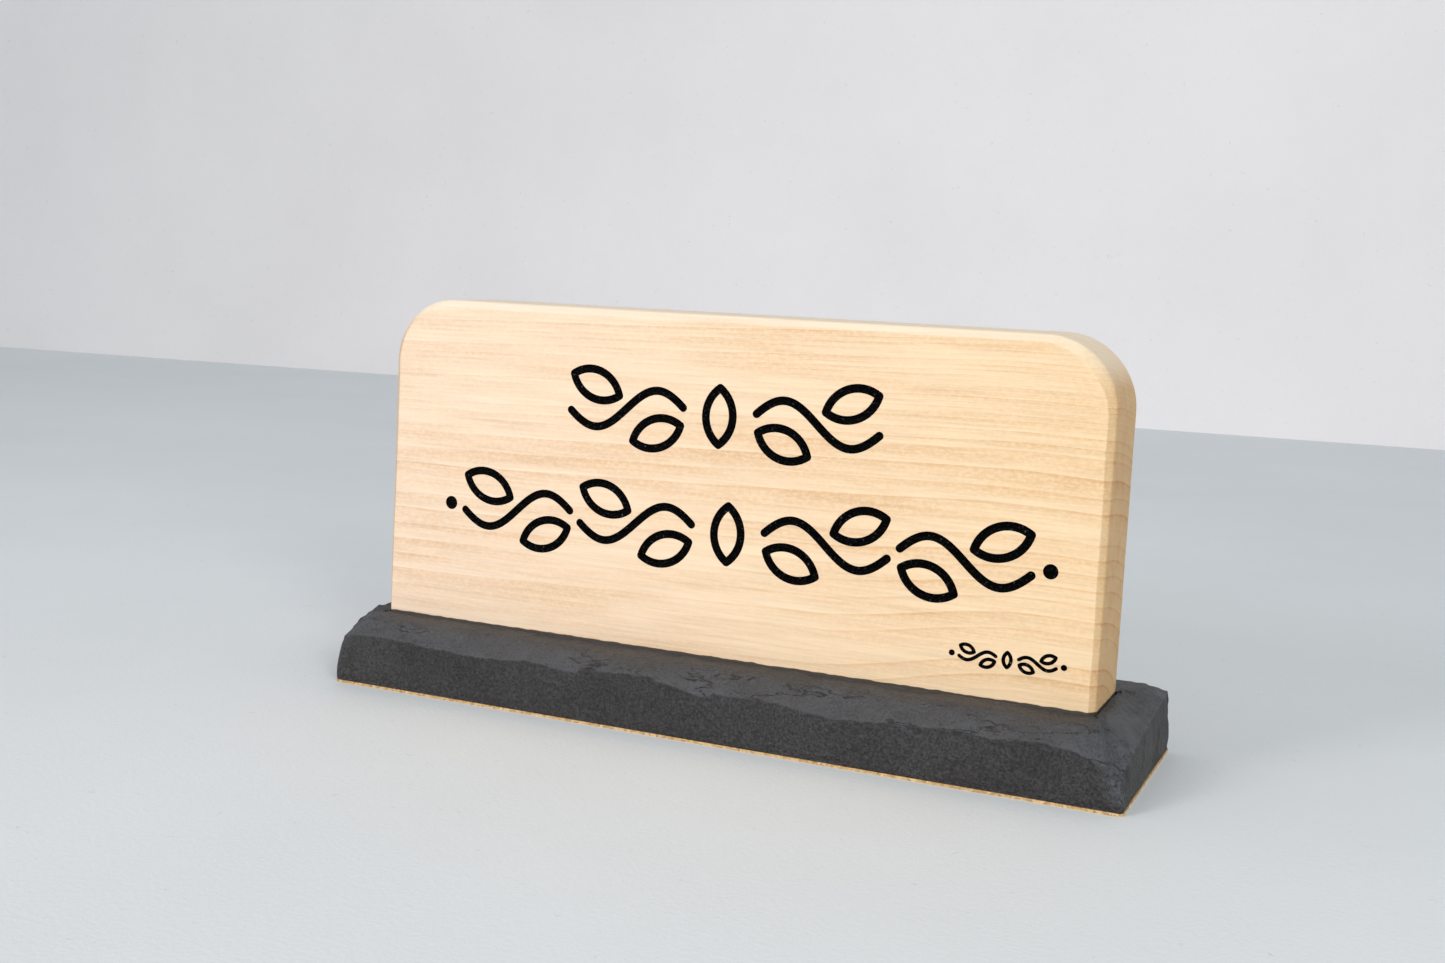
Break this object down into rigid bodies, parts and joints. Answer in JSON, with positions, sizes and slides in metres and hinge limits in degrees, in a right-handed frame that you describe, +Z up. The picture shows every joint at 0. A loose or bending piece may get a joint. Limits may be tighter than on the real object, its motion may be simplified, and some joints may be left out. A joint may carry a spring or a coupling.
{
  "type": "wooden plaque",
  "caption": "Free-standing desk plaque: a round-cornered solid wood board with black inlaid engraving, standing on edge in a groove of a long rough dark base with a cork sole.",
  "frame": {"origin": "on the standing surface, under the middle of the base", "axes": "+X along the board to the right of a person reading it, +Y from its front face to its back, +Z up"},
  "size_m": [0.326, 0.092, 0.16],
  "materials": {
    "board_wood": "hand-sanded pale softwood with a clear matt oil",
    "base_coat": "matte",
    "sole_cork": "thin brown cork felt sheet",
    "engraving_fill": "glossy black cured resin",
    "screw_steel": "zinc-plated steel"
  },
  "bodies": {
    "root": {"base_block": "base_coat", "board": "board_wood", "board_screw_left": "screw_steel", "board_screw_right": "screw_steel", "lower_row_berry_1": "engraving_fill", "lower_row_berry_2": "engraving_fill", "lower_row_leaf_1": "engraving_fill", "lower_row_leaf_2": "engraving_fill", "lower_row_leaf_3": "engraving_fill", "lower_row_leaf_4": "engraving_fill", "lower_row_leaf_5": "engraving_fill", "lower_row_leaf_6": "engraving_fill", "lower_row_leaf_7": "engraving_fill", "lower_row_leaf_8": "engraving_fill", "lower_row_leaf_9": "engraving_fill", "lower_row_stem_1": "engraving_fill", "lower_row_stem_2": "engraving_fill", "lower_row_stem_3": "engraving_fill", "lower_row_stem_4": "engraving_fill", "small_row_berry_1": "engraving_fill", "small_row_berry_2": "engraving_fill", "small_row_leaf_1": "engraving_fill", "small_row_leaf_2": "engraving_fill", "small_row_leaf_3": "engraving_fill", "small_row_leaf_4": "engraving_fill", "small_row_leaf_5": "engraving_fill", "small_row_stem_1": "engraving_fill", "small_row_stem_2": "engraving_fill", "sole_sheet": "sole_cork", "upper_row_leaf_1": "engraving_fill", "upper_row_leaf_2": "engraving_fill", "upper_row_leaf_3": "engraving_fill", "upper_row_leaf_4": "engraving_fill", "upper_row_leaf_5": "engraving_fill", "upper_row_stem_1": "engraving_fill", "upper_row_stem_2": "engraving_fill"}
  },
  "joints": []
}
